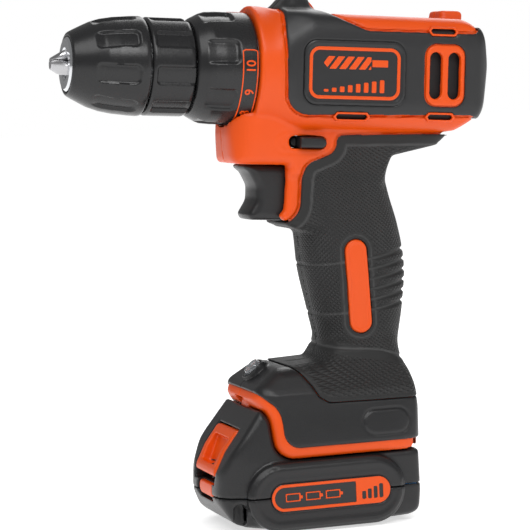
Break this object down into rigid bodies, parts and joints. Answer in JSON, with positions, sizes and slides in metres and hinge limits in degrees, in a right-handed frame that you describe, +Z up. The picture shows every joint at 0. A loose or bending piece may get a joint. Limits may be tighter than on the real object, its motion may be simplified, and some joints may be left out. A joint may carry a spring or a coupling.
{
  "type": "cordless drill",
  "caption": "Compact pistol-grip cordless drill: keyless chuck, torque collar, planetary gearbox, motor in a clamshell body, trigger, work light and slide-on battery.",
  "frame": {"origin": "under the middle of the drill, on the surface that the battery stands on", "axes": "+Z up, -X the way the chuck points (the barrel itself is pitched 4.1 degrees nose-up), -Y the left side of the drill"},
  "size_m": [0.1974, 0.067, 0.2286],
  "materials": {
    "orange_plastic": "satin moulded, faint grain",
    "black_plastic": "satin moulded",
    "grip_rubber": "diamond texture",
    "sleeve_plastic": "satin moulded",
    "trigger_plastic": "fine matt",
    "chuck_steel": "polished",
    "jaw_steel": "ground",
    "gear_steel": "sintered",
    "case_zinc": "die cast",
    "motor_steel": "zinc plated",
    "magnet": "dull ferrite",
    "copper": "machined",
    "carbon": "dull",
    "bronze": "sintered",
    "spring_steel": "drawn",
    "screw_steel": "blackened",
    "lens": "clear",
    "board": "lacquered",
    "cell_wrap": "shrink sleeve",
    "contact": "plated"
  },
  "bodies": {
    "body": {"left_housing": "orange_plastic", "right_housing": "orange_plastic", "left_side_cover": "black_plastic", "right_side_cover": "black_plastic", "left_badge": "black_plastic", "right_badge": "black_plastic", "left_vent_frame": "orange_plastic", "right_vent_frame": "orange_plastic", "left_grip": "grip_rubber", "right_grip": "grip_rubber", "left_grip_insert": "orange_plastic", "right_grip_insert": "orange_plastic", "left_foot_cover": "black_plastic", "right_foot_cover": "black_plastic", "work_light_lens": "lens", "work_light_board": "board", "housing_screws": "screw_steel", "gearbox_housing": "case_zinc", "ring_gear_first": "gear_steel", "ring_gear_second": "gear_steel", "spindle_bearing": "bronze", "clutch_pins": "gear_steel", "clutch_spring": "spring_steel", "motor_can": "motor_steel", "motor_magnets": "magnet", "motor_end_bell": "black_plastic", "motor_brushes": "carbon", "switch_body": "black_plastic", "tool_terminals": "contact"},
    "clutch_collar": {"clutch_collar": "sleeve_plastic"},
    "clutch_nut": {"clutch_nut": "black_plastic"},
    "spindle": {"output_spindle": "gear_steel", "chuck_body": "chuck_steel", "chuck_screw": "screw_steel", "rear_sleeve": "sleeve_plastic"},
    "sleeve": {"front_sleeve": "sleeve_plastic", "chuck_nut": "gear_steel"},
    "jaw_a": {"jaw_a": "jaw_steel"},
    "jaw_b": {"jaw_b": "jaw_steel"},
    "jaw_c": {"jaw_c": "jaw_steel"},
    "first_carrier": {"first_carrier": "gear_steel"},
    "rotor": {"rotor_shaft": "gear_steel", "rotor_core": "magnet", "commutator": "copper", "motor_pinion": "gear_steel"},
    "trigger": {"trigger": "trigger_plastic"},
    "direction_selector": {"direction_selector": "trigger_plastic"},
    "battery": {"battery_upper_case": "black_plastic", "battery_lower_case": "black_plastic", "battery_cells": "cell_wrap", "battery_terminals": "contact", "battery_labels": "orange_plastic", "latch_spring": "spring_steel"},
    "battery_latch": {"battery_latch": "orange_plastic"},
    "planet_first_a": {"planet_first_a": "gear_steel"},
    "planet_first_b": {"planet_first_b": "gear_steel"},
    "planet_first_c": {"planet_first_c": "gear_steel"},
    "planet_second_a": {"planet_second_a": "gear_steel"},
    "planet_second_b": {"planet_second_b": "gear_steel"},
    "planet_second_c": {"planet_second_c": "gear_steel"}
  },
  "joints": [
    {"name": "spindle_spin", "type": "hinge", "parent": "body", "child": "spindle", "pos_m": [0.0073, 0, 0.1968], "axis": [0.9974, 0, -0.0715], "continuous": true},
    {"name": "first_carrier_spin", "type": "hinge", "parent": "body", "child": "first_carrier", "pos_m": [0.0073, 0, 0.1968], "axis": [0.9974, 0, -0.0715], "continuous": true},
    {"name": "rotor_spin", "type": "hinge", "parent": "body", "child": "rotor", "pos_m": [0.0073, 0, 0.1968], "axis": [0.9974, 0, -0.0715], "continuous": true},
    {"name": "planet_first_a_spin", "type": "hinge", "parent": "first_carrier", "child": "planet_first_a", "pos_m": [0.02076, 0.0096, 0.19584], "axis": [0.9974, 0, -0.0715], "continuous": true},
    {"name": "planet_second_a_spin", "type": "hinge", "parent": "spindle", "child": "planet_second_a", "pos_m": [0.0058, 0.0096, 0.19691], "axis": [0.9974, 0, -0.0715], "continuous": true},
    {"name": "planet_first_b_spin", "type": "hinge", "parent": "first_carrier", "child": "planet_first_b", "pos_m": [0.02136, -0.0048, 0.20413], "axis": [0.9974, 0, -0.0715], "continuous": true},
    {"name": "planet_second_b_spin", "type": "hinge", "parent": "spindle", "child": "planet_second_b", "pos_m": [0.0064, -0.0048, 0.2052], "axis": [0.9974, 0, -0.0715], "continuous": true},
    {"name": "planet_first_c_spin", "type": "hinge", "parent": "first_carrier", "child": "planet_first_c", "pos_m": [0.02017, -0.0048, 0.18754], "axis": [0.9974, 0, -0.0715], "continuous": true},
    {"name": "planet_second_c_spin", "type": "hinge", "parent": "spindle", "child": "planet_second_c", "pos_m": [0.00521, -0.0048, 0.18862], "axis": [0.9974, 0, -0.0715], "continuous": true},
    {"name": "sleeve_turn", "type": "hinge", "parent": "spindle", "child": "sleeve", "pos_m": [-0.0725, 0, 0.20252], "axis": [-0.9974, 0, 0.0715], "range_deg": [0, 2520]},
    {"name": "jaw_a_slide", "type": "slide", "parent": "spindle", "child": "jaw_a", "axis": [0.9851, 0, 0.1719], "range_m": [0, 0.0217]},
    {"name": "jaw_b_slide", "type": "slide", "parent": "spindle", "child": "jaw_b", "axis": [0.9592, -0.2095, -0.19], "range_m": [0, 0.0217]},
    {"name": "jaw_c_slide", "type": "slide", "parent": "spindle", "child": "jaw_c", "axis": [0.9592, 0.2095, -0.19], "range_m": [0, 0.0217]},
    {"name": "collar_turn", "type": "hinge", "parent": "body", "child": "clutch_collar", "pos_m": [-0.02562, 0, 0.19916], "axis": [-0.9974, 0, 0.0715], "range_deg": [0, 290]},
    {"name": "clutch_nut_travel", "type": "slide", "parent": "clutch_collar", "child": "clutch_nut", "axis": [-0.9974, 0, 0.0715], "range_m": [0, 0.004]},
    {"name": "trigger_pull", "type": "slide", "parent": "body", "child": "trigger", "axis": [0.9974, 0, -0.0715], "range_m": [0, 0.006], "stiffness_N_per_m": 900, "springref_m": -0.003},
    {"name": "selector_push", "type": "slide", "parent": "body", "child": "direction_selector", "axis": [0, 1, 0], "range_m": [-0.003, 0.003]},
    {"name": "battery_slide", "type": "slide", "parent": "body", "child": "battery", "axis": [-1, 0, 0], "range_m": [0, 0.085]},
    {"name": "latch_press", "type": "slide", "parent": "battery", "child": "battery_latch", "axis": [0, 0, -1], "range_m": [0, 0.003], "stiffness_N_per_m": 1500, "springref_m": -0.002, "deforming": ["latch_spring"]}
  ],
  "couplings": [
    {"joint": "first_carrier_spin", "follows": "spindle_spin", "ratio": 5.3333},
    {"joint": "rotor_spin", "follows": "spindle_spin", "ratio": 28.444},
    {"joint": "planet_first_a_spin", "follows": "spindle_spin", "ratio": -13.867},
    {"joint": "planet_second_a_spin", "follows": "spindle_spin", "ratio": -2.6},
    {"joint": "planet_first_b_spin", "follows": "spindle_spin", "ratio": -13.867},
    {"joint": "planet_second_b_spin", "follows": "spindle_spin", "ratio": -2.6},
    {"joint": "planet_first_c_spin", "follows": "spindle_spin", "ratio": -13.867},
    {"joint": "planet_second_c_spin", "follows": "spindle_spin", "ratio": -2.6},
    {"joint": "jaw_a_slide", "follows": "sleeve_turn", "m_per_rad": 0.00049337},
    {"joint": "jaw_b_slide", "follows": "sleeve_turn", "m_per_rad": 0.00049337},
    {"joint": "jaw_c_slide", "follows": "sleeve_turn", "m_per_rad": 0.00049337},
    {"joint": "clutch_nut_travel", "follows": "collar_turn", "m_per_rad": 0.00079028}
  ]
}
